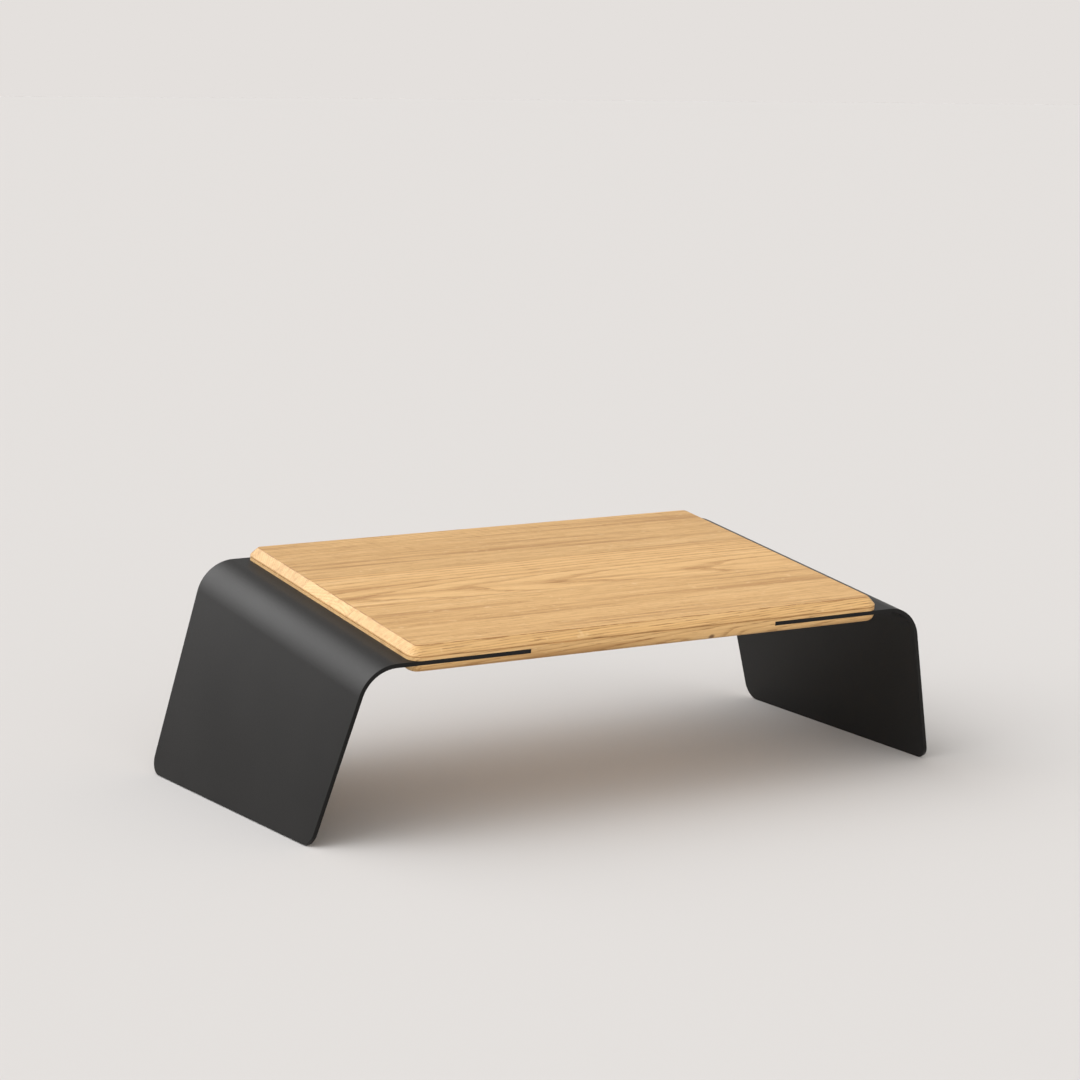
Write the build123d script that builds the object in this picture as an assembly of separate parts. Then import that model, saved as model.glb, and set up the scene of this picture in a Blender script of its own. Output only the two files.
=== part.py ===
from build123d import *
import os
from math import cos, radians, sin, tan

# Laptop stand: a tilted, edge-glued oak board carried by two bent sheet-steel legs.
#
# Millimetres. X runs left to right, Y from the front to the back, Z up from the desk.
# Board and legs are modelled with the board lying flat: u = X, v = back from the board's
# front face, w = up from the middle of the leg slots. All of it is then tilted and lifted.

# --- where the board sits
BOARD_TILT = 7.0  # rises towards the back, degrees
SLOT_HEIGHT_FRONT = 111.5  # middle of the slot above the desk, at the front face

# --- board
BOARD_WIDTH = 352.0
BOARD_DEPTH = 238.0
LIP_THICKNESS = 5.2  # wood under the slot
SLOT_THICKNESS = 2.8  # filled by the leg's flange
UPPER_THICKNESS = 8.5  # wood over the slot
PLAN_CORNER_RADIUS = 8.0
TOP_CHAMFER = 5.0
TOP_ARRIS_RADIUS = 1.2  # where the top meets the chamfer
SIDE_ARRIS_RADIUS = 1.4  # where the chamfer meets the upright side
BOTTOM_EDGE_RADIUS = 4.8
SHADOW_LINE_HEIGHT = 3.4  # lower side of the groove, above the middle of the slot
SHADOW_LINE_WIDTH = 0.8
SHADOW_LINE_DEPTH = 0.8
STAVE_JOINTS = (86.0, 152.0)  # glue lines, back from the front face

BOARD_BOTTOM = -SLOT_THICKNESS / 2 - LIP_THICKNESS
BOARD_TOP = SLOT_THICKNESS / 2 + UPPER_THICKNESS
SHADOW_LINE_TOP = SHADOW_LINE_HEIGHT + SHADOW_LINE_WIDTH
SIDE_ARRIS_HEIGHT = BOARD_TOP - TOP_CHAMFER
HEIGHT_TOLERANCE = 0.1  # for finding edges by their height

# --- legs
SHEET = SLOT_THICKNESS  # taken as 2.5 mm steel with its powder coat
FLANGE_INNER_END = 92.0  # where flange and slot stop, from the middle of the board
BEND_START = 185.5
BEND_RADIUS_MIDDLE = 24.6
BEND_ANGLE = 75.0  # leaves the side panel leaning out 15 degrees
PANEL_EDGE_TAPER = 3.5  # front and back edges close in towards the desk, degrees
PANEL_CORNER_RADIUS = 11.0

# --- screws: 3.5 x 14 countersunk wood screws, one in the middle of each stave
SCREW_FROM_MIDDLE = 134.0
SCREW_LENGTH = 14.0
SCREW_SHANK_DIAMETER = 3.5
SCREW_CORE_DIAMETER = 2.3
SCREW_HEAD_DIAMETER = 7.0
SCREW_HEAD_RIM = 0.3
SCREW_HEAD_CONE = 2.0
SCREW_HEAD_SINK = 0.2  # head lies this far above the underside
SCREW_SMOOTH_LENGTH = 8.4  # head and plain shank, through lip and flange
SCREW_POINT_LENGTH = 2.0
THREAD_COUNT = 3
THREAD_ROOT = (0.3, 0.6)  # flat between two crests, in parts of the pitch
RECESS_DEPTH = 1.7
RECESS_WIDTH = 0.9
RECESS_SPAN = 3.8
LIP_HOLE_DIAMETER = 4.0
FLANGE_HOLE_DIAMETER = 4.2

CUT_OVERRUN = 50.0  # how far cutting shapes reach past the metal or wood
DESK_TRIM = 0.45  # side panels are made this much too long, then cut flush with the desk

UPRIGHT = (Align.CENTER, Align.CENTER, Align.MIN)


def board_outline(inset):
    """The board seen from above, moved in by an inset all round."""
    width = BOARD_WIDTH - 2 * inset
    depth = BOARD_DEPTH - 2 * inset
    return Pos(0, BOARD_DEPTH / 2) * RectangleRounded(width, depth, PLAN_CORNER_RADIUS - inset)


def board_layer(bottom, top, inset=0):
    """The full board between two heights, moved in by an inset all round."""
    return Pos(0, 0, bottom) * extrude(board_outline(inset), top - bottom)


def board_blank():
    """The board with its moulded edge, before slots and holes."""
    lower = board_layer(BOARD_BOTTOM, SHADOW_LINE_HEIGHT)
    lower = fillet(lower.faces().sort_by(Axis.Z)[0].edges(), BOTTOM_EDGE_RADIUS)
    groove = board_layer(SHADOW_LINE_HEIGHT, SHADOW_LINE_TOP, SHADOW_LINE_DEPTH)
    upper = board_layer(SHADOW_LINE_TOP, BOARD_TOP)
    upper = chamfer(upper.faces().sort_by(Axis.Z)[-1].edges(), TOP_CHAMFER)
    lowest, highest = SIDE_ARRIS_HEIGHT - HEIGHT_TOLERANCE, SIDE_ARRIS_HEIGHT + HEIGHT_TOLERANCE
    side_arris = upper.edges().filter_by_position(Axis.Z, lowest, highest)
    upper = fillet(side_arris, SIDE_ARRIS_RADIUS)
    upper = fillet(upper.faces().sort_by(Axis.Z)[-1].edges(), TOP_ARRIS_RADIUS)
    return lower + groove + upper


def leg_slot(side):
    """The saw slot in one end of the board, open to the front, the back and the end."""
    length = BOARD_WIDTH / 2 - FLANGE_INNER_END + CUT_OVERRUN
    across = BOARD_DEPTH + 2 * CUT_OVERRUN
    middle = side * (FLANGE_INNER_END + length / 2)
    return Pos(middle, BOARD_DEPTH / 2, 0) * Box(length, across, SLOT_THICKNESS)


def screw_half_outline():
    """Points of a screw's half outline (radius, height), head face at height 0."""
    head = SCREW_HEAD_DIAMETER / 2
    shank = SCREW_SHANK_DIAMETER / 2
    core = SCREW_CORE_DIAMETER / 2
    points = [(0, 0), (head, 0), (head, SCREW_HEAD_RIM)]
    points.append((shank, SCREW_HEAD_RIM + SCREW_HEAD_CONE))
    points.append((shank, SCREW_SMOOTH_LENGTH))
    pitch = (SCREW_LENGTH - SCREW_POINT_LENGTH - SCREW_SMOOTH_LENGTH) / THREAD_COUNT
    for turn in range(THREAD_COUNT):
        start = SCREW_SMOOTH_LENGTH + turn * pitch
        points += [(core, start + part * pitch) for part in THREAD_ROOT]
        points.append((shank, start + pitch))
    points.append((0, SCREW_LENGTH))
    return points


def screw_body():
    """A screw without its recess; also the shape it presses for itself in the wood."""
    half = make_face(Plane.XZ * Polyline(*screw_half_outline(), close=True))
    return revolve(half, Axis.Z)


def screw():
    """One countersunk cross-head screw, head face down at z = 0."""
    bar = Box(RECESS_SPAN, RECESS_WIDTH, 2 * RECESS_DEPTH)
    cross = bar + Rot(0, 0, 90) * bar
    taper = Cone(RECESS_SPAN / 2, RECESS_WIDTH / 2, RECESS_DEPTH, align=UPRIGHT)
    return screw_body() - (cross & taper)


def screw_places(side):
    """Where one leg's three screw heads lie: in the middle of each stave."""
    joints = (0.0, *STAVE_JOINTS, BOARD_DEPTH)
    height = BOARD_BOTTOM + SCREW_HEAD_SINK
    middles = [(front + back) / 2 for front, back in zip(joints, joints[1:])]
    return [Pos(side * SCREW_FROM_MIDDLE, v, height) for v in middles]


def lip_hole():
    """Clearance through the lip, opened at the underside for the sunk head."""
    hole = Cylinder(LIP_HOLE_DIAMETER / 2, LIP_THICKNESS, align=UPRIGHT)
    mouth = Cylinder(SCREW_HEAD_DIAMETER / 2, 2 * SCREW_HEAD_SINK)
    return hole + mouth


def board():
    """The whole board, cut for flanges and screws."""
    wood = board_blank()
    for side in (-1, 1):
        wood -= leg_slot(side)
        for place in screw_places(side):
            wood -= place * (screw_body() + lip_hole())
    return wood


def stave(wood, front, back):
    """The strip of board between two glue lines."""
    middle = Pos(0, (front + back) / 2, 0)
    return wood & middle * Box(BOARD_WIDTH + CUT_OVERRUN, back - front, CUT_OVERRUN)


def panel_edge_length(v, closing):
    """Length of a side panel's edge from the bend to the desk.

    v is where the edge leaves the bend, closing how far it moves back per millimetre down.
    """
    tilt = radians(BOARD_TILT)
    bend_drop = BEND_RADIUS_MIDDLE * (1 - cos(radians(BEND_ANGLE)))
    height = SLOT_HEIGHT_FRONT + v * sin(tilt) - bend_drop * cos(tilt)
    fall = sin(radians(BEND_ANGLE)) * cos(tilt) - closing * sin(tilt)
    return height / fall


def side_panel():
    """The flat side of a right leg, hanging straight down from the origin's Y axis."""
    closing = tan(radians(PANEL_EDGE_TAPER))
    front_length = panel_edge_length(0, closing) + DESK_TRIM
    back_length = panel_edge_length(BOARD_DEPTH, -closing) + DESK_TRIM
    outline = Polyline(
        (0, 0),
        (closing * front_length, -front_length),
        (BOARD_DEPTH - closing * back_length, -back_length),
        (BOARD_DEPTH, 0),
        close=True,
    )
    flat = make_face(outline)
    flat = fillet(flat.vertices().sort_by(Axis.Y)[:2], PANEL_CORNER_RADIUS)
    return extrude(Plane.YZ * flat, SHEET / 2, both=True)


def bend():
    """The curved part of a right leg between flange and side panel."""
    outer = BEND_RADIUS_MIDDLE + SHEET / 2
    ring = Circle(outer) - Circle(outer - SHEET)
    reach = 2 * outer
    far_side = (reach * sin(radians(BEND_ANGLE)), reach * cos(radians(BEND_ANGLE)))
    wedge = make_face(Polyline((0, 0), (0, reach), (reach, reach), far_side, close=True))
    section = Plane.XZ * (ring & wedge)
    return Pos(BEND_START, 0, -BEND_RADIUS_MIDDLE) * extrude(section, -BOARD_DEPTH)


def leg():
    """The right leg, untrimmed at the desk, with its board lying flat."""
    flange_length = BEND_START - FLANGE_INNER_END
    flange_middle = Pos(FLANGE_INNER_END + flange_length / 2, BOARD_DEPTH / 2, 0)
    flange = flange_middle * Box(flange_length, BOARD_DEPTH, SHEET)
    for place in screw_places(1):
        across = Cylinder(FLANGE_HOLE_DIAMETER / 2, CUT_OVERRUN)
        flange -= Pos(place.position.X, place.position.Y, 0) * across

    angle = radians(BEND_ANGLE)
    bend_end_u = BEND_START + BEND_RADIUS_MIDDLE * sin(angle)
    bend_end_w = -BEND_RADIUS_MIDDLE * (1 - cos(angle))
    panel = Pos(bend_end_u, 0, bend_end_w) * Rot(0, BEND_ANGLE - 90, 0) * side_panel()
    return flange + bend() + panel


def cut_at_desk(metal):
    """Cut a placed leg flush with the desk."""
    below = Pos(0, 0, -CUT_OVERRUN) * Box(2 * BOARD_WIDTH, 4 * BOARD_DEPTH, 2 * CUT_OVERRUN)
    return metal - below


def main():
    wood = board()
    front_joint, back_joint = STAVE_JOINTS
    lying = {
        "right_leg": leg(),
        "left_leg": mirror(leg(), about=Plane.YZ),
        "front_stave": stave(wood, 0, front_joint),
        "middle_stave": stave(wood, front_joint, back_joint),
        "back_stave": stave(wood, back_joint, BOARD_DEPTH),
        "right_leg_screws": Compound([place * screw() for place in screw_places(1)]),
        "left_leg_screws": Compound([place * screw() for place in screw_places(-1)]),
    }
    tilted = Pos(0, 0, SLOT_HEIGHT_FRONT) * Rot(BOARD_TILT, 0, 0)
    placed = {name: tilted * piece for name, piece in lying.items()}
    for name in ("right_leg", "left_leg"):
        placed[name] = cut_at_desk(placed[name])

    # the origin is on the desk, under the middle of the whole stand
    depth_middle = Compound(list(placed.values())).bounding_box().center().Y
    os.makedirs("parts", exist_ok=True)
    for name, piece in placed.items():
        export_step(Pos(0, -depth_middle, 0) * piece, f"parts/{name}.step")


main()
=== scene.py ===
from math import cos, pi, radians, sin, tan

import bmesh
import bpy
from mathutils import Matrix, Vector


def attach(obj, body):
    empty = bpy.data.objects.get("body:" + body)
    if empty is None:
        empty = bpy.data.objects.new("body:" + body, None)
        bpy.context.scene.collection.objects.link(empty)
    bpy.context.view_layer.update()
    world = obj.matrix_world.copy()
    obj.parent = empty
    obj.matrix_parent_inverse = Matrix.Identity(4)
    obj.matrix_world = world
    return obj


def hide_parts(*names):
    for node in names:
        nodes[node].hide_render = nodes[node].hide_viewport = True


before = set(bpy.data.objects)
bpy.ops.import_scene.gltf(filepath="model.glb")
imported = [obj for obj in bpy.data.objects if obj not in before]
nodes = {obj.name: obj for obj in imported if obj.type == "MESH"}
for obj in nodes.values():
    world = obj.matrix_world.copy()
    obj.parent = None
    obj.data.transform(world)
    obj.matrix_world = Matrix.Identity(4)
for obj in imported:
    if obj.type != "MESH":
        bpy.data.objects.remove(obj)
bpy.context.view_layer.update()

MM = 0.001

# --- the stand's sizes, in metres
BOARD_TILT = radians(7.0)
SLOT_HEIGHT_FRONT = 111.5 * MM
FRONT_FACE_Y = -122.2766 * MM  # where the board's front face line stands, at slot height
BOARD_DEPTH = 238 * MM
BOARD_BOTTOM = -6.6 * MM  # under the middle of the slot
STAVE_JOINTS = (86 * MM, 152 * MM)  # back from the front face

SHEET = 2.8 * MM
FLANGE_INNER_END = 92 * MM
BEND_START = 185.5 * MM
BEND_RADIUS = 24.6 * MM
BEND_ANGLE = radians(75.0)
EDGE_CLOSING = tan(radians(3.5))
FOOT_CORNER_RADIUS = 11 * MM
ARRIS_RADIUS = 0.5 * MM
FOOT_CLEARANCE = 0.05 * MM  # the steps of the rounded arris reach a hair below its true curve
WELL_BELOW_BEND = 10 * MM  # a panel corner lower than this is a foot corner
WELD_DISTANCE = 0.02 * MM

SCREW_COUNT = 3
SCREW_FROM_MIDDLE = 134 * MM
FIRST_SCREW = 43 * MM  # back from the front face
SCREW_SPACING = 76 * MM
FLANGE_HOLE_RADIUS = 2.1 * MM
SCREW_HEAD_HEIGHT = BOARD_BOTTOM + 0.2 * MM  # sunk a little into the underside
SCREW_SIZES = {
    "Length": 14 * MM,
    "Head Radius": 3.5 * MM,
    "Head Rim": 0.3 * MM,
    "Head Cone": 2.0 * MM,
    "Shank Radius": 1.75 * MM,
    "Core Radius": 1.15 * MM,
    "Smooth Length": 8.4 * MM,
    "Thread Pitch": 1.2 * MM,
    "Point Length": 2.0 * MM,
    "Recess Span": 3.8 * MM,
    "Recess Width": 0.9 * MM,
    "Recess Depth": 1.7 * MM,
}
THREAD_STEEPNESS = 2.6  # how fast a crest falls to the core
POINT_THREAD = 0.35  # how far the thread still stands out on the point
RECESS_TAPER = 0.45  # how much narrower the recess is at its floor
SCREW_WELD_DISTANCE = 0.001 * MM
SCREW_CREASE = radians(32)  # edges of a screw bent more than this stay sharp


# --- node trees


def add(tree, kind, inputs=None, **settings):
    """A node with its settings made and its sockets filled or wired."""
    node = tree.nodes.new(kind)
    for name, value in settings.items():
        setattr(node, name, value)
    for socket, value in (inputs or {}).items():
        wire(tree, node.inputs[socket], value)
    return node


def wire(tree, socket, value):
    """Link a socket to an output, or set its value."""
    if isinstance(value, bpy.types.NodeSocket):
        tree.links.new(value, socket)
    else:
        socket.default_value = value


def calc(tree, operation, *values):
    """One step of arithmetic in a node tree."""
    return add(tree, "ShaderNodeMath", dict(enumerate(values)), operation=operation).outputs[0]


def vector_calc(tree, operation, *values):
    """One step of vector arithmetic; a length or a dot product is a plain number."""
    node = add(tree, "ShaderNodeVectorMath", dict(enumerate(values)), operation=operation)
    return node.outputs["Value" if operation in ("LENGTH", "DOT_PRODUCT") else "Vector"]


def split(tree, vector):
    return add(tree, "ShaderNodeSeparateXYZ", {0: vector}).outputs


def join(tree, x, y, z):
    return add(tree, "ShaderNodeCombineXYZ", {0: x, 1: y, 2: z}).outputs[0]


def fade(tree, value, low, high, to_low=0.0, to_high=1.0):
    """Smooth step of a value from one level to another."""
    levels = {"From Min": low, "From Max": high, "To Min": to_low, "To Max": to_high}
    sockets = {"Value": value, **levels}
    node = add(tree, "ShaderNodeMapRange", sockets, interpolation_type="SMOOTHSTEP")
    return node.outputs["Result"]


def noise(tree, place, scale, detail=2.0, roughness=0.5, colour=False):
    """Noise over a place that may have been stretched first; scale is per metre of that place."""
    sockets = {"Vector": place, "Scale": scale, "Detail": detail, "Roughness": roughness}
    node = add(tree, "ShaderNodeTexNoise", sockets)
    return node.outputs["Color" if colour else "Fac"]


def stretched(tree, place, along, across, up):
    return vector_calc(tree, "MULTIPLY", place, (along, across, up))


def blend(tree, share, first, second, mode="MIX"):
    """Mix two colours; a share of 0 gives the first."""
    node = add(tree, "ShaderNodeMix", data_type="RGBA", blend_type=mode)
    wire(tree, node.inputs[0], share)
    wire(tree, node.inputs[6], first)
    wire(tree, node.inputs[7], second)
    return node.outputs[2]


def new_finish(name):
    """A new material, its node tree and its main shader."""
    finish = bpy.data.materials.new(name)
    finish.use_nodes = True
    return finish, finish.node_tree, finish.node_tree.nodes["Principled BSDF"]


def roughen(tree, shader, height, distance, strength):
    """Raise a height into the shader's bump."""
    sockets = {"Height": height, "Distance": distance, "Strength": strength}
    bump = add(tree, "ShaderNodeBump", sockets)
    wire(tree, shader.inputs["Normal"], bump.outputs[0])


# --- oak

RING_WIDTH = 1.7 * MM
TRUNK_SWEEP = 9 * MM  # how far the slow sweep of the trunk moves a ring
GRAIN_WAVE = 0.9 * MM  # how far the small waves move it
KNOT_REACH = 7 * MM
KNOT_SWELL = 2.6 * MM  # how far a knot pushes the rings out
GLUE_LINE = (0.08 * MM, 0.3 * MM)  # full tone inside the first, gone past the second
PORE_DEPTH = 0.12 * MM

PALE_RAY = (0.860, 0.640, 0.380, 1)
# paler end grain, partly a painted highlight for the lit end faces
END_GRAIN_AND_PAINTED_HIGHLIGHT = (0.840, 0.570, 0.290, 1)
PALE_STREAK = (0.830, 0.580, 0.310, 1)
LATEWOOD = (0.735, 0.468, 0.205, 1)
EARLYWOOD = (0.500, 0.275, 0.098, 1)
DARK_STREAK = (0.400, 0.205, 0.066, 1)
BROWN = (0.330, 0.165, 0.058, 1)
KNOT_HEART = (0.120, 0.052, 0.018, 1)


def along_board(tree):
    """Place in the board: X along the grain, Y back from the front face, Z up from the slot."""
    place = add(tree, "ShaderNodeTexCoord").outputs["Object"]
    sockets = {
        "Vector": place,
        "Location": (0, FRONT_FACE_Y, SLOT_HEIGHT_FRONT),
        "Rotation": (BOARD_TILT, 0, 0),
    }
    return add(tree, "ShaderNodeMapping", sockets, vector_type="TEXTURE").outputs[0]


def oak(name, pith, lean, tone, seed, knot=None):
    """Plain-sawn oak: rings round a pith line that leans a little along the stave.

    pith is the pith's place across and above the slot at the board's middle, lean how far it
    moves per metre of board, tone brightens or darkens the stave, seed picks its own figure,
    and knot is a pin knot's place along the stave and above the slot.
    """
    finish, tree, shader = new_finish(name)
    place = along_board(tree)
    own = vector_calc(tree, "ADD", place, (seed * 1.7, seed * 0.9, seed * 1.3))
    x, y, z = split(tree, place)[:3]

    # slow sweep of the trunk, then the small waves of the grain
    sweep = noise(tree, stretched(tree, own, 2.2, 9, 9), 1.0, 2, 0.45, colour=True)
    wave = noise(tree, stretched(tree, own, 16, 70, 70), 1.0, 2, 0.5, colour=True)
    sweep_y, sweep_z = split(tree, sweep)[:2]
    wave_y, wave_z = split(tree, wave)[:2]

    def off_pith(coordinate, pith_at, lean_at, slow, quick):
        shift = calc(tree, "MULTIPLY_ADD", x, -lean_at, -pith_at)
        slow_part = calc(tree, "MULTIPLY_ADD", slow, TRUNK_SWEEP, shift)
        quick_part = calc(tree, "MULTIPLY_ADD", quick, GRAIN_WAVE, slow_part)
        return calc(tree, "ADD", coordinate, quick_part)

    across = off_pith(y, pith[0], lean[0], sweep_y, wave_y)
    height = off_pith(z, pith[1], lean[1], sweep_z, wave_z)
    radius = vector_calc(tree, "LENGTH", join(tree, 0.0, across, height))
    angle = calc(tree, "ARCTAN2", across, height)

    if knot:
        # the rings flow round the knot in a long ellipse; its heart shows on the front only
        from_knot_x = calc(tree, "SUBTRACT", x, knot[0])
        from_knot_z = calc(tree, "SUBTRACT", z, knot[1])
        flow = join(tree, calc(tree, "MULTIPLY", from_knot_x, 0.22), 0.0, from_knot_z)
        swell = fade(tree, vector_calc(tree, "LENGTH", flow), 0.0, KNOT_REACH, 1.0, 0.0)
        radius = calc(tree, "MULTIPLY_ADD", swell, KNOT_SWELL, radius)
        core = join(tree, calc(tree, "MULTIPLY", from_knot_x, 0.8), 0.0, from_knot_z)
        core = fade(tree, vector_calc(tree, "LENGTH", core), 0.8 * MM, 2.4 * MM, 1.0, 0.0)
        near_front = fade(tree, y, 4 * MM, 16 * MM, 1.0, 0.0)
        dark_heart = calc(tree, "MULTIPLY", core, near_front)

    # a year's ring: open earlywood starts sharply and closes into dense latewood
    uneven = noise(tree, join(tree, calc(tree, "MULTIPLY", radius, 130), 0.0, seed), 1.0, 1)
    even_years = calc(tree, "DIVIDE", radius, RING_WIDTH)
    years = calc(tree, "ADD", even_years, calc(tree, "MULTIPLY", uneven, 1.2))
    season = calc(tree, "FRACT", years)
    year = calc(tree, "FLOOR", years)
    opening = fade(tree, season, 0.0, 0.06)
    closing = fade(tree, season, 0.10, 0.52, 1.0, 0.0)
    early = calc(tree, "MULTIPLY", opening, closing)
    own_year = {"W": calc(tree, "ADD", year, seed)}
    year_tone = add(tree, "ShaderNodeTexWhiteNoise", own_year, noise_dimensions="1D")

    # pores are long tubes: dashes on the faces, dots on the ends
    pore_field = noise(tree, stretched(tree, own, 55, 1500, 1500), 1.0, 2, 0.6)
    pore_level = fade(tree, early, 0.0, 1.0, 0.66, 0.53)
    pores = fade(tree, calc(tree, "SUBTRACT", pore_field, pore_level), 0.0, 0.07)
    fibre = noise(tree, stretched(tree, own, 30, 900, 900), 1.0, 3, 0.65)
    streak = noise(tree, stretched(tree, own, 5, 170, 170), 1.0, 3, 0.55)

    # rays run out from the pith: fine pale lines on the ends, flecks where the cut meets them
    ray_place = join(
        tree,
        calc(tree, "MULTIPLY", angle, 95),
        calc(tree, "MULTIPLY", x, 140),
        calc(tree, "MULTIPLY", radius, 60),
    )
    rays = fade(tree, noise(tree, ray_place, 1.0, 1), 0.66, 0.78)

    # on the ends the rings show much less than on the faces
    facing = add(tree, "ShaderNodeNewGeometry").outputs["Normal"]
    end_grain = fade(tree, calc(tree, "ABSOLUTE", split(tree, facing)[0]), 0.45, 0.9)
    ring_share = fade(tree, end_grain, 0.0, 1.0, 0.58, 0.20)
    year_share = fade(tree, year_tone.outputs["Value"], 0.55, 1.0, 0.0, 0.35)
    colour = blend(tree, calc(tree, "MULTIPLY", early, ring_share), LATEWOOD, EARLYWOOD)
    colour = blend(tree, fade(tree, streak, 0.48, 0.74, 0.0, 0.75), colour, DARK_STREAK)
    colour = blend(tree, fade(tree, streak, 0.18, 0.48, 0.45, 0.0), colour, PALE_STREAK)
    colour = blend(tree, year_share, colour, EARLYWOOD)
    colour = blend(tree, fade(tree, fibre, 0.35, 0.75, 0.0, 0.32), colour, BROWN)
    colour = blend(tree, calc(tree, "MULTIPLY", rays, 0.35), colour, PALE_RAY)
    colour = blend(tree, calc(tree, "MULTIPLY", pores, 0.75), colour, BROWN)
    if knot:
        colour = blend(tree, calc(tree, "MULTIPLY", dark_heart, 0.85), colour, KNOT_HEART)

    # glue lines show as a hair of darker wood
    for joint in STAVE_JOINTS:
        gap = calc(tree, "ABSOLUTE", calc(tree, "SUBTRACT", y, joint))
        colour = blend(tree, fade(tree, gap, *GLUE_LINE, 0.55, 0.0), colour, BROWN)

    # handling darkens the worn arris round the top, in broken lengths
    board_up = (0, -sin(BOARD_TILT), cos(BOARD_TILT))
    leaning = vector_calc(tree, "DOT_PRODUCT", facing, board_up)
    past_chamfer = fade(tree, leaning, 0.71, 0.76)
    short_of_top = fade(tree, leaning, 0.96, 0.995, 1.0, 0.0)
    top_arris = calc(tree, "MULTIPLY", past_chamfer, short_of_top)
    broken = fade(tree, noise(tree, own, 130, 2), 0.40, 0.56, 0.35, 1.0)
    less_on_ends = fade(tree, end_grain, 0.0, 1.0, 1.0, 0.1)
    worn = calc(tree, "MULTIPLY", calc(tree, "MULTIPLY", top_arris, broken), less_on_ends)
    colour = blend(tree, worn, colour, BROWN)

    # the ends are painted paler: partly the paler look of cut end grain, partly a painted
    # highlight standing in for the light falling on the end faces
    colour = blend(tree, calc(tree, "MULTIPLY", end_grain, 0.34), colour, END_GRAIN_AND_PAINTED_HIGHLIGHT)
    tint = blend(tree, 1.0, colour, (tone, tone, tone, 1), "MULTIPLY")
    wire(tree, shader.inputs["Base Color"], tint)

    matt = calc(tree, "MULTIPLY_ADD", pores, 0.18, fade(tree, fibre, 0.2, 0.8, 0.46, 0.60))
    wire(tree, shader.inputs["Roughness"], matt)
    shader.inputs["Specular IOR Level"].default_value = 0.35

    relief = calc(tree, "MULTIPLY", pores, -1.0)
    relief = calc(tree, "MULTIPLY_ADD", early, -0.30, relief)
    relief = calc(tree, "MULTIPLY_ADD", fibre, 0.25, relief)
    roughen(tree, shader, relief, PORE_DEPTH, 0.6)
    return finish


# --- powder coat

CHARCOAL = (0.0112, 0.0107, 0.0104)
COAT_GRIT = (0.036, 0.035, 0.034, 1)
# paler coat on the arrises: wear, and a painted edge highlight
WORN_COAT_AND_HIGHLIGHT = (0.030, 0.029, 0.028, 1)
COAT_ROUGHNESS = 0.40
PEEL_DEPTH = 0.03 * MM


def powder_coat(name):
    """Satin powder coat: a fine orange peel over blasted steel."""
    finish, tree, shader = new_finish(name)
    place = add(tree, "ShaderNodeTexCoord").outputs["Object"]
    cloud = noise(tree, place, 14, 2)
    peel = noise(tree, place, 1100, 2, 0.5)
    grit = noise(tree, place, 3800, 1, 0.5)
    darker = tuple(channel * 0.86 for channel in CHARCOAL) + (1,)
    lighter = tuple(channel * 1.16 for channel in CHARCOAL) + (1,)
    colour = blend(tree, fade(tree, cloud, 0.3, 0.7), darker, lighter)
    colour = blend(tree, fade(tree, grit, 0.62, 0.80, 0.0, 0.35), colour, COAT_GRIT)
    # the coat is painted a little paler along the front and back arrises: partly thinner coat
    # where it wears, partly a painted edge highlight
    facing = add(tree, "ShaderNodeNewGeometry").outputs["Normal"]
    slant = split(tree, vector_calc(tree, "ABSOLUTE", facing))[1]
    off_panel = fade(tree, slant, 0.25, 0.55)
    short_of_edge = fade(tree, slant, 0.75, 0.97, 1.0, 0.0)
    arris = calc(tree, "MULTIPLY", off_panel, short_of_edge)
    # the arris mask carries wear and a painted edge highlight
    colour = blend(tree, calc(tree, "MULTIPLY", arris, 0.5), colour, WORN_COAT_AND_HIGHLIGHT)
    wire(tree, shader.inputs["Base Color"], colour)
    shader.inputs["Specular IOR Level"].default_value = 0.13
    clouded = fade(tree, cloud, 0.2, 0.8, COAT_ROUGHNESS, COAT_ROUGHNESS + 0.05)
    rough = calc(tree, "ADD", clouded, fade(tree, peel, 0.3, 0.7, -0.02, 0.03))
    wire(tree, shader.inputs["Roughness"], rough)
    height = calc(tree, "MULTIPLY_ADD", grit, 0.35, peel)
    roughen(tree, shader, height, PEEL_DEPTH, 0.5)
    return finish


# --- zinc

CLEAN_ZINC = (0.62, 0.62, 0.60, 1)
DULL_ZINC = (0.46, 0.46, 0.46, 1)


def bright_zinc(name):
    """Plated screw steel, a little blotched."""
    finish, tree, shader = new_finish(name)
    place = add(tree, "ShaderNodeTexCoord").outputs["Object"]
    blotch = noise(tree, place, 900, 3, 0.6)
    fine = noise(tree, place, 6000, 2, 0.5)
    colour = blend(tree, fade(tree, blotch, 0.35, 0.7), CLEAN_ZINC, DULL_ZINC)
    wire(tree, shader.inputs["Base Color"], colour)
    wire(tree, shader.inputs["Roughness"], fade(tree, blotch, 0.3, 0.7, 0.24, 0.38))
    shader.inputs["Metallic"].default_value = 1.0
    roughen(tree, shader, fine, 0.01 * MM, 0.4)
    return finish


# --- geometry trees


def new_geometry_tree(name, sizes):
    """A geometry tree with named inputs; returns the tree and its input sockets by name."""
    tree = bpy.data.node_groups.new(name, "GeometryNodeTree")
    tree.is_modifier = True
    kinds = {float: "NodeSocketFloat", int: "NodeSocketInt"}
    for label, value in sizes.items():
        socket = tree.interface.new_socket(label, in_out="INPUT", socket_type=kinds[type(value)])
        socket.default_value = value
    tree.interface.new_socket("Finish", in_out="INPUT", socket_type="NodeSocketMaterial")
    tree.interface.new_socket("Mesh", in_out="OUTPUT", socket_type="NodeSocketGeometry")
    return tree, add(tree, "NodeGroupInput").outputs


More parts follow.
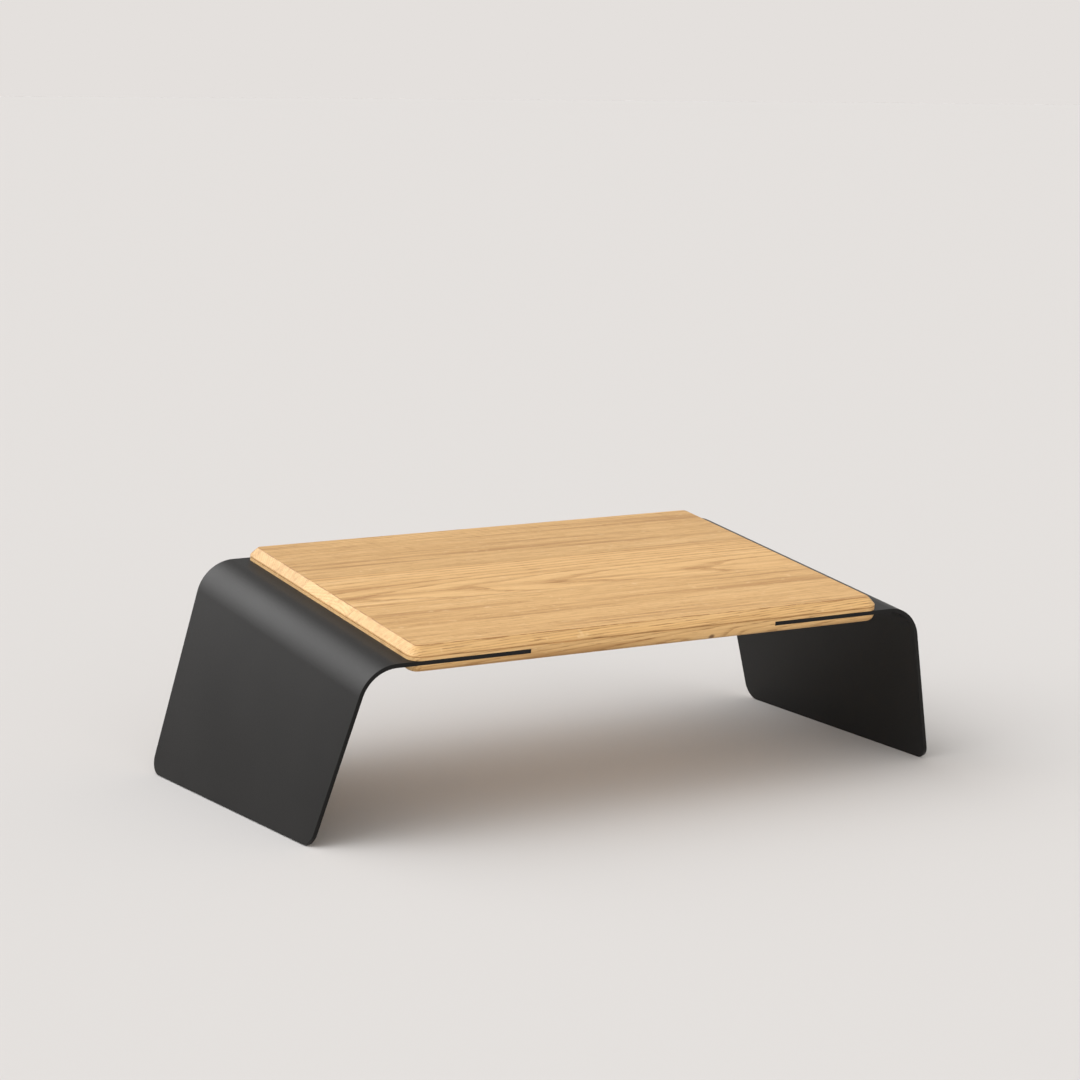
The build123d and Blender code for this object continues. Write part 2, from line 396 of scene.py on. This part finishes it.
def finish_tree(tree, geometry, finish):
    """Every tree ends in real geometry with its finish set."""
    real = add(tree, "GeometryNodeRealizeInstances", {0: geometry}).outputs[0]
    painted = add(tree, "GeometryNodeSetMaterial", {"Geometry": real, "Material": finish})
    end = add(tree, "NodeGroupOutput")
    tree.links.new(painted.outputs[0], end.inputs[0])


def moved(tree, geometry, **places):
    sockets = {"Geometry": geometry, **{name.title(): value for name, value in places.items()}}
    return add(tree, "GeometryNodeTransform", sockets).outputs[0]


def stood_up(tree, geometry, size):
    """Bring geometry from the board's own axes to where the tilted board stands."""
    lift = join(tree, 0.0, size["Front Face"], size["Slot Height"])
    return moved(tree, geometry, translation=lift, rotation=join(tree, size["Tilt"], 0.0, 0.0))


def reshaped(tree, geometry, position):
    sockets = {"Geometry": geometry, "Position": position}
    return add(tree, "GeometryNodeSetPosition", sockets).outputs[0]


def welded(tree, geometry, distance):
    sockets = {"Geometry": geometry, "Distance": distance}
    return add(tree, "GeometryNodeMergeByDistance", sockets).outputs[0]


def four_corners(tree, corners):
    """A flat outline through four corners, each given as down the sheet and back."""
    outline = add(tree, "GeometryNodeCurvePrimitiveQuadrilateral", mode="POINTS")
    for number, (down, back) in enumerate(corners, 1):
        wire(tree, outline.inputs[f"Point {number}"], join(tree, down, back, 0.0))
    return outline.outputs[0]


def filled(tree, outline):
    """One flat face inside an outline, open where it has holes."""
    return add(tree, "GeometryNodeFillCurve", {"Curve": outline}, mode="NGONS").outputs[0]


def in_a_row(tree, piece, count, first, spacing, rotation=(0, 0, 0)):
    """Copies of a piece at even steps from front to back."""
    steps = {"Count": count, "Start Location": first, "Offset": join(tree, 0.0, spacing, 0.0)}
    points = add(tree, "GeometryNodeMeshLine", steps).outputs[0]
    sockets = {"Points": points, "Instance": piece, "Rotation": rotation}
    return add(tree, "GeometryNodeInstanceOnPoints", sockets).outputs[0]


def made_by(name, tree, values, modifiers=()):
    """The plain mesh object that a geometry tree and any finishing modifiers give."""
    holder = bpy.data.objects.new(name + "_maker", bpy.data.meshes.new(name + "_maker"))
    bpy.context.scene.collection.objects.link(holder)
    modifier = holder.modifiers.new("tree", "NODES")
    modifier.node_group = tree
    inputs = [item for item in tree.interface.items_tree if item.in_out == "INPUT"]
    identifiers = {item.name: item.identifier for item in inputs}
    for label, value in values.items():
        modifier[identifiers[label]] = value
    for kind, settings in modifiers:
        extra = holder.modifiers.new(kind.lower(), kind)
        for setting, value in settings.items():
            setattr(extra, setting, value)
    bpy.context.view_layer.update()
    graph = bpy.context.evaluated_depsgraph_get()
    mesh = bpy.data.meshes.new_from_object(holder.evaluated_get(graph), depsgraph=graph)
    bpy.data.objects.remove(holder)
    mesh.name = name
    piece = bpy.data.objects.new(name, mesh)
    bpy.context.scene.collection.objects.link(piece)
    return piece


# --- legs


def panel_edge_length(from_front, closing):
    """Length of a side panel's edge, from the bend to the desk."""
    bend_drop = BEND_RADIUS * (1 - cos(BEND_ANGLE))
    # the rounded inner arris is what touches the desk
    arris = ARRIS_RADIUS * (sin(BEND_ANGLE) + cos(BEND_ANGLE) - 1)
    foot_lift = SHEET / 2 * cos(BEND_ANGLE) - arris + FOOT_CLEARANCE
    slot_height = SLOT_HEIGHT_FRONT + from_front * sin(BOARD_TILT)
    height = slot_height - bend_drop * cos(BOARD_TILT) - foot_lift
    fall = sin(BEND_ANGLE) * cos(BOARD_TILT) - closing * sin(BOARD_TILT)
    return height / fall


def bent_leg_tree():
    """A flat blank - flange with its holes, bend strip, side panel - folded round the bend."""
    tree, size = new_geometry_tree(
        "bent_sheet_leg",
        {
            "Side": 1.0,
            "Depth": BOARD_DEPTH,
            "Flange Length": BEND_START - FLANGE_INNER_END,
            "Bend Start": BEND_START,
            "Bend Radius": BEND_RADIUS,
            "Bend Angle": BEND_ANGLE,
            "Bend Steps": 30,
            "Front Edge": panel_edge_length(0, EDGE_CLOSING),
            "Back Edge": panel_edge_length(BOARD_DEPTH, -EDGE_CLOSING),
            "Edge Closing": EDGE_CLOSING,
            "Corner Radius": FOOT_CORNER_RADIUS,
            "Hole Radius": FLANGE_HOLE_RADIUS,
            "Hole From Bend": BEND_START - SCREW_FROM_MIDDLE,
            "First Hole": FIRST_SCREW,
            "Hole Spacing": SCREW_SPACING,
            "Tilt": BOARD_TILT,
            "Slot Height": SLOT_HEIGHT_FRONT,
            "Front Face": FRONT_FACE_Y,
        },
    )
    bend_length = calc(tree, "MULTIPLY", size["Bend Radius"], size["Bend Angle"])
    depth = size["Depth"]

    # the blank lies flat: X down the sheet from the start of the bend, Y from front to back
    flange_end = calc(tree, "MULTIPLY", size["Flange Length"], -1.0)
    flange = four_corners(
        tree, [(flange_end, 0.0), (0.0, 0.0), (0.0, depth), (flange_end, depth)]
    )
    hole_sizes = {"Resolution": 28, "Radius": size["Hole Radius"]}
    hole = add(tree, "GeometryNodeCurvePrimitiveCircle", hole_sizes).outputs[0]
    hole_down = calc(tree, "MULTIPLY", size["Hole From Bend"], -1.0)
    first_hole = join(tree, hole_down, size["First Hole"], 0.0)
    holes = in_a_row(tree, hole, SCREW_COUNT, first_hole, size["Hole Spacing"])
    real_holes = add(tree, "GeometryNodeRealizeInstances", {0: holes})
    flange_outline = add(tree, "GeometryNodeJoinGeometry")
    tree.links.new(flange, flange_outline.inputs[0])
    tree.links.new(real_holes.outputs[0], flange_outline.inputs[0])
    flange_face = filled(tree, flange_outline.outputs[0])

    strip_sizes = {
        "Size X": bend_length,
        "Size Y": depth,
        "Vertices X": size["Bend Steps"],
        "Vertices Y": 2,
    }
    strip = add(tree, "GeometryNodeMeshGrid", strip_sizes).outputs["Mesh"]
    half_length = calc(tree, "MULTIPLY", bend_length, 0.5)
    half_depth = calc(tree, "MULTIPLY", depth, 0.5)
    strip_face = moved(tree, strip, translation=join(tree, half_length, half_depth, 0.0))

    front_foot = calc(tree, "ADD", bend_length, size["Front Edge"])
    back_foot = calc(tree, "ADD", bend_length, size["Back Edge"])
    front_in = calc(tree, "MULTIPLY", size["Front Edge"], size["Edge Closing"])
    back_closing = calc(tree, "MULTIPLY", size["Back Edge"], size["Edge Closing"])
    back_in = calc(tree, "SUBTRACT", depth, back_closing)
    panel = four_corners(
        tree,
        [(bend_length, 0.0), (front_foot, front_in), (back_foot, back_in), (bend_length, depth)],
    )
    here = split(tree, add(tree, "GeometryNodeInputPosition").outputs[0])
    foot_level = calc(tree, "ADD", bend_length, WELL_BELOW_BEND)
    at_foot = calc(tree, "GREATER_THAN", here[0], foot_level)
    rounding = calc(tree, "MULTIPLY", at_foot, size["Corner Radius"])
    corner_sizes = {"Curve": panel, "Radius": rounding, "Count": 14}
    panel_outline = add(tree, "GeometryNodeFilletCurve", corner_sizes, mode="POLY")
    panel_face = filled(tree, panel_outline.outputs[0])

    faces = add(tree, "GeometryNodeJoinGeometry")
    for face in (flange_face, strip_face, panel_face):
        tree.links.new(face, faces.inputs[0])
    blank = welded(tree, faces.outputs[0], WELD_DISTANCE)

    # fold: along the flange, round the bend, then straight down the panel
    down, back = split(tree, add(tree, "GeometryNodeInputPosition").outputs[0])[:2]
    turned = calc(tree, "MAXIMUM", calc(tree, "DIVIDE", down, size["Bend Radius"]), 0.0)
    turned = calc(tree, "MINIMUM", turned, size["Bend Angle"])
    before = calc(tree, "MINIMUM", down, 0.0)
    beyond = calc(tree, "MAXIMUM", calc(tree, "SUBTRACT", down, bend_length), 0.0)
    reach = calc(tree, "MULTIPLY_ADD", size["Bend Radius"], calc(tree, "SINE", turned), before)
    reach = calc(tree, "MULTIPLY_ADD", beyond, calc(tree, "COSINE", size["Bend Angle"]), reach)
    across = calc(tree, "MULTIPLY", calc(tree, "ADD", size["Bend Start"], reach), size["Side"])
    curl = calc(tree, "SUBTRACT", calc(tree, "COSINE", turned), 1.0)
    level = calc(tree, "MULTIPLY", size["Bend Radius"], curl)
    fall = calc(tree, "MULTIPLY", beyond, calc(tree, "SINE", size["Bend Angle"]))
    height = calc(tree, "SUBTRACT", level, fall)
    folded = reshaped(tree, blank, join(tree, across, back, height))
    placed = stood_up(tree, folded, size)
    smooth = add(tree, "GeometryNodeSetShadeSmooth", {"Geometry": placed})
    finish_tree(tree, smooth.outputs[0], size["Finish"])
    return tree


coat = powder_coat("charcoal_powder_coat")
leg_tree = bent_leg_tree()
sheet_thickness = (
    "SOLIDIFY",
    {"thickness": SHEET, "offset": 0.0, "use_even_offset": True, "use_quality_normals": True},
)
soft_arris = (
    "BEVEL",
    {"width": ARRIS_RADIUS, "segments": 3, "limit_method": "ANGLE", "angle_limit": radians(40)},
)
flat_faces_lead = ("WEIGHTED_NORMAL", {"mode": "FACE_AREA", "weight": 100, "keep_sharp": False})
leg_finishing = (sheet_thickness, soft_arris, flat_faces_lead)

for leg_name, side in (("left_leg", -1.0), ("right_leg", 1.0)):
    leg = made_by("bent_" + leg_name, leg_tree, {"Side": side, "Finish": coat}, leg_finishing)
    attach(leg, "root")
    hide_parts(leg_name)


# --- staves

staves = {
    "front_stave": oak(
        "front_stave_oak",
        pith=(-58 * MM, -46 * MM),
        lean=(0.02, 0.03),
        tone=1.0,
        seed=0.0,
        knot=(43 * MM, -4.2 * MM),
    ),
    "middle_stave": oak(
        "middle_stave_oak", pith=(106 * MM, -90 * MM), lean=(-0.03, 0.014), tone=1.03, seed=5.0
    ),
    "back_stave": oak(
        "back_stave_oak", pith=(285 * MM, -70 * MM), lean=(0.02, -0.02), tone=0.95, seed=9.0
    ),
}
for stave_name, wood in staves.items():
    stave = nodes[stave_name]
    stave.data.materials.clear()
    stave.data.materials.append(wood)


# --- screws


def countersunk_screws_tree():
    """One side's screws: a lathed body with a climbing thread and a cross cut into the head."""
    tree, size = new_geometry_tree(
        "countersunk_screws",
        {
            "Side": 1.0,
            **SCREW_SIZES,
            "Rows": 114,
            "Sides": 37,
            "Count": SCREW_COUNT,
            "From Middle": SCREW_FROM_MIDDLE,
            "First Screw": FIRST_SCREW,
            "Spacing": SCREW_SPACING,
            "Head Height": SCREW_HEAD_HEIGHT,
            "Tilt": BOARD_TILT,
            "Slot Height": SLOT_HEIGHT_FRONT,
            "Front Face": FRONT_FACE_Y,
        },
    )
    rows_less_one = calc(tree, "SUBTRACT", size["Rows"], 1.0)
    sheet_sizes = {
        "Size X": 2 * pi,
        "Size Y": rows_less_one,
        "Vertices X": size["Sides"],
        "Vertices Y": size["Rows"],
    }
    sheet = add(tree, "GeometryNodeMeshGrid", sheet_sizes).outputs["Mesh"]
    turn, down = split(tree, add(tree, "GeometryNodeInputPosition").outputs[0])[:2]
    row = calc(tree, "ROUND", calc(tree, "MULTIPLY_ADD", rows_less_one, 0.5, down))

    # the first row is the middle of the head's face, the second its edge, then the rows climb
    step = calc(tree, "DIVIDE", size["Length"], calc(tree, "SUBTRACT", rows_less_one, 1.0))
    rows_climbed = calc(tree, "MAXIMUM", calc(tree, "SUBTRACT", row, 1.0), 0.0)
    climb = calc(tree, "MULTIPLY", rows_climbed, step)
    past_rim = calc(tree, "SUBTRACT", climb, size["Head Rim"])
    overhang = calc(tree, "SUBTRACT", size["Head Radius"], size["Shank Radius"])
    narrowing = calc(tree, "DIVIDE", overhang, size["Head Cone"])
    taken_off = calc(tree, "MULTIPLY", calc(tree, "MAXIMUM", past_rim, 0.0), narrowing)
    head = calc(tree, "SUBTRACT", size["Head Radius"], taken_off)

    past_smooth = calc(tree, "SUBTRACT", climb, size["Smooth Length"])
    along_thread = calc(tree, "DIVIDE", past_smooth, size["Thread Pitch"])
    turns = calc(tree, "DIVIDE", turn, 2 * pi)
    helix = calc(tree, "FRACT", calc(tree, "SUBTRACT", along_thread, turns))
    off_crest = calc(tree, "ABSOLUTE", calc(tree, "SUBTRACT", helix, 0.5))
    crest = calc(tree, "SUBTRACT", 1.0, calc(tree, "MULTIPLY", off_crest, THREAD_STEEPNESS))
    crest = calc(tree, "MAXIMUM", crest, 0.0)
    thread_height = calc(tree, "SUBTRACT", size["Shank Radius"], size["Core Radius"])
    thread = calc(tree, "MULTIPLY_ADD", thread_height, crest, size["Core Radius"])
    threaded = calc(tree, "GREATER_THAN", along_thread, 0.0)
    bare = calc(tree, "MULTIPLY", size["Shank Radius"], calc(tree, "SUBTRACT", 1.0, threaded))
    shank = calc(tree, "MULTIPLY_ADD", thread, threaded, bare)

    left = calc(tree, "SUBTRACT", size["Length"], climb)
    point_share = calc(tree, "DIVIDE", left, size["Point Length"])
    point = calc(tree, "MULTIPLY", point_share, size["Core Radius"])
    point = calc(tree, "MULTIPLY", point, calc(tree, "MULTIPLY_ADD", crest, POINT_THREAD, 1.0))
    outline = calc(tree, "MINIMUM", calc(tree, "MAXIMUM", head, shank), point)
    radius = calc(tree, "MULTIPLY", outline, calc(tree, "GREATER_THAN", row, 0.5))
    lathed = join(
        tree,
        calc(tree, "MULTIPLY", radius, calc(tree, "COSINE", turn)),
        calc(tree, "MULTIPLY", radius, calc(tree, "SINE", turn)),
        climb,
    )
    body = welded(tree, reshaped(tree, sheet, lathed), SCREW_WELD_DISTANCE)

    deep = calc(tree, "MULTIPLY", size["Recess Depth"], 2.0)
    bar_size = join(tree, size["Recess Span"], size["Recess Width"], deep)
    bar = add(tree, "GeometryNodeMeshCube", {"Size": bar_size}).outputs["Mesh"]
    place = add(tree, "GeometryNodeInputPosition").outputs[0]
    depth_in = split(tree, vector_calc(tree, "ABSOLUTE", place))[2]
    depth_share = calc(tree, "DIVIDE", depth_in, size["Recess Depth"])
    shrink = calc(tree, "SUBTRACT", 1.0, calc(tree, "MULTIPLY", depth_share, RECESS_TAPER))
    bar_place = vector_calc(tree, "MULTIPLY", place, join(tree, shrink, shrink, 1.0))
    tapered = reshaped(tree, bar, bar_place)
    # the second bar goes a hair deeper, so that the two floors are never in one plane
    crossed = moved(tree, tapered, rotation=(0, 0, pi / 2), scale=(1, 1, 1.03))
    for bar_mesh in (tapered, crossed):
        cut = add(tree, "GeometryNodeMeshBoolean", {"Mesh 1": body}, operation="DIFFERENCE")
        tree.links.new(bar_mesh, cut.inputs["Mesh 2"])
        body = cut.outputs[0]

    smooth = add(tree, "GeometryNodeSetShadeSmooth", {"Geometry": body})
    bent = add(tree, "GeometryNodeInputMeshEdgeAngle").outputs["Unsigned Angle"]
    keen = calc(tree, "GREATER_THAN", bent, SCREW_CREASE)
    crease = {"Geometry": smooth.outputs[0], "Selection": keen, "Shade Smooth": False}
    screw = add(tree, "GeometryNodeSetShadeSmooth", crease, domain="EDGE").outputs[0]

    out_from_middle = calc(tree, "MULTIPLY", size["From Middle"], size["Side"])
    first = join(tree, out_from_middle, size["First Screw"], size["Head Height"])
    # no two screws stop at the same quarter turn
    number = add(tree, "GeometryNodeInputIndex").outputs[0]
    stop = calc(tree, "MULTIPLY", calc(tree, "ADD", number, size["Side"]), 0.7)
    stopped_at = join(tree, 0.0, 0.0, stop)
    screws = in_a_row(tree, screw, size["Count"], first, size["Spacing"], stopped_at)
    finish_tree(tree, stood_up(tree, screws, size), size["Finish"])
    return tree


zinc = bright_zinc("bright_zinc")
screws_tree = countersunk_screws_tree()
for screws_name, side in (("left_leg_screws", -1.0), ("right_leg_screws", 1.0)):
    screws = made_by("threaded_" + screws_name, screws_tree, {"Side": side, "Finish": zinc})
    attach(screws, "root")
    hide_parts(screws_name)


# --- studio

BACKDROP = (0.776, 0.745, 0.723, 1)
FLOOR = (0.664, 0.661, 0.669, 1)  # lit, it looks the same as the backdrop
FLOOR_RADIUS = 30
ROOM = (0.50, 0.462, 0.415)  # warm and dim
ROOM_IN_REFLECTIONS = 0.2  # dimmer still there
RIM_IN_REFLECTIONS = 3.6  # the rim softbox is that much brighter there
SIDE_SHEEN = 0.8

scene = bpy.context.scene
scene.view_settings.view_transform = "Standard"


def flat_floor():
    mesh = bpy.data.meshes.new("floor")
    outline = bmesh.new()
    bmesh.ops.create_circle(outline, cap_ends=True, segments=96, radius=FLOOR_RADIUS)
    outline.to_mesh(mesh)
    outline.free()
    floor = bpy.data.objects.new("floor", mesh)
    scene.collection.objects.link(floor)
    finish, _, shader = new_finish("pale_floor")
    shader.inputs["Base Color"].default_value = FLOOR
    shader.inputs["Roughness"].default_value = 1.0
    shader.inputs["Specular IOR Level"].default_value = 0.0
    mesh.materials.append(finish)


flat_floor()

world = bpy.data.worlds.new("studio")
scene.world = world
world.use_nodes = True
sky = world.node_tree
sky.nodes.clear()
direction = add(sky, "ShaderNodeTexCoord").outputs["Generated"]


def softbox(towards, spread, power):
    """A soft patch of light in one direction; it has faded out at spread degrees from there."""
    middle = tuple(Vector(towards).normalized())
    nearness = vector_calc(sky, "DOT_PRODUCT", direction, middle)
    patch = fade(sky, nearness, cos(radians(spread)), 1.0)
    return calc(sky, "MULTIPLY", patch, power)


rays = add(sky, "ShaderNodeLightPath").outputs
reflected = rays["Is Glossy Ray"]
rim_power = calc(sky, "MULTIPLY_ADD", reflected, RIM_IN_REFLECTIONS - 1, 1.0)
sheen_power = calc(sky, "MULTIPLY", reflected, SIDE_SHEEN)
softboxes = [
    softbox((-0.73, 0.03, 0.68), 45, 2.6),
    softbox((-0.26, 0.75, 0.59), 30, rim_power),
    softbox((-0.35, -0.93, 0.10), 60, 1.25),
    softbox((0.85, 0.10, 0.50), 85, sheen_power),
]
glow = softboxes[0]
for patch in softboxes[1:]:
    glow = calc(sky, "ADD", glow, patch)
dimmed = calc(sky, "MULTIPLY_ADD", reflected, ROOM_IN_REFLECTIONS - 1, 1.0)
around = [calc(sky, "MULTIPLY", dimmed, channel) for channel in ROOM]
room = join(sky, *(calc(sky, "ADD", glow, channel) for channel in around))
lit = add(sky, "ShaderNodeBackground", {"Color": room}).outputs[0]
plain = add(sky, "ShaderNodeBackground", {"Color": BACKDROP, "Strength": 1.0}).outputs[0]
both = add(sky, "ShaderNodeMixShader", {0: rays["Is Camera Ray"], 1: lit, 2: plain})
out = add(sky, "ShaderNodeOutputWorld")
sky.links.new(both.outputs[0], out.inputs[0])

# a near softbox behind on the left, which lights only by reflection
sheen = bpy.data.lights.new("sheen_softbox", "AREA")
sheen.shape = "RECTANGLE"
sheen.size = 0.9
sheen.size_y = 0.75
sheen.energy = 4.2
sheen_light = bpy.data.objects.new("sheen_softbox", sheen)
sheen_light.location = (-0.66, 0.76, 0.50)
left_leg_middle = Vector((-0.21, 0.0, 0.11))
aim = left_leg_middle - sheen_light.location
sheen_light.rotation_euler = aim.to_track_quat("-Z", "Y").to_euler()
sheen_light.visible_camera = False
sheen_light.visible_diffuse = False
scene.collection.objects.link(sheen_light)

camera_data = bpy.data.cameras.new("camera")
camera_data.lens = 98.53
camera_data.sensor_width = 36
camera_data.shift_x = -0.0463
camera = bpy.data.objects.new("camera", camera_data)
camera.location = (-0.998, -1.6745, 0.4764)
camera.rotation_euler = (radians(80.682), radians(-0.453), radians(-31.34))
scene.collection.objects.link(camera)
scene.camera = camera
